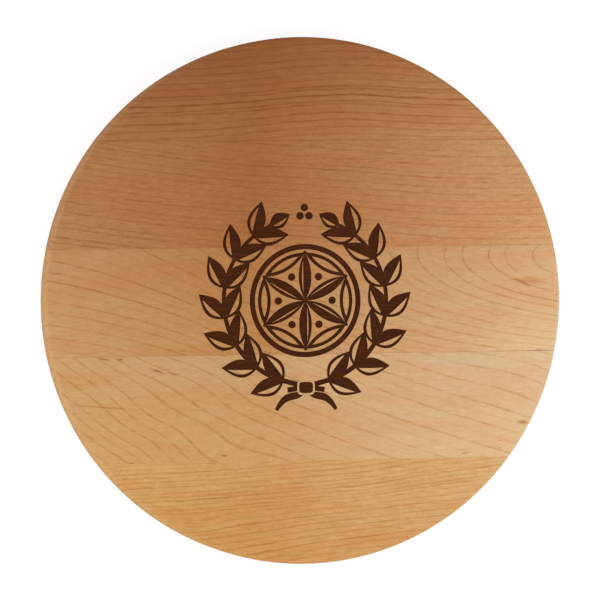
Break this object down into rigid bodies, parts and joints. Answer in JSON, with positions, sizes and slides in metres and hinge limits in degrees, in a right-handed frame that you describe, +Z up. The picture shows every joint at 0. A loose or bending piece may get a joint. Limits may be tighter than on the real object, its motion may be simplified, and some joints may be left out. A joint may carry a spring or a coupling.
{
  "type": "pizza board",
  "caption": "Round flat serving board of hard maple staves edge-glued into a panel and cut to a disc, with rounded-over rims, for serving and slicing a pizza.",
  "frame": {"origin": "centre of the underside, on the surface that the board lies on", "axes": "+X along the grain and the glue joints, +Y across the staves from the front one to the back one, +Z up out of the serving face"},
  "size_m": [0.3556, 0.3556, 0.019],
  "materials": {
    "honey_maple": "satin",
    "cream_maple": "satin",
    "sand_maple": "satin",
    "amber_maple": "satin",
    "russet_maple": "satin",
    "cured_glue": "satin"
  },
  "bodies": {
    "root": {"front_edge_stave": "honey_maple", "front_inner_stave": "cream_maple", "centre_stave": "sand_maple", "back_inner_stave": "amber_maple", "back_edge_stave": "russet_maple", "front_edge_glue_film": "cured_glue", "front_inner_glue_film": "cured_glue", "back_inner_glue_film": "cured_glue", "back_edge_glue_film": "cured_glue"}
  },
  "joints": []
}
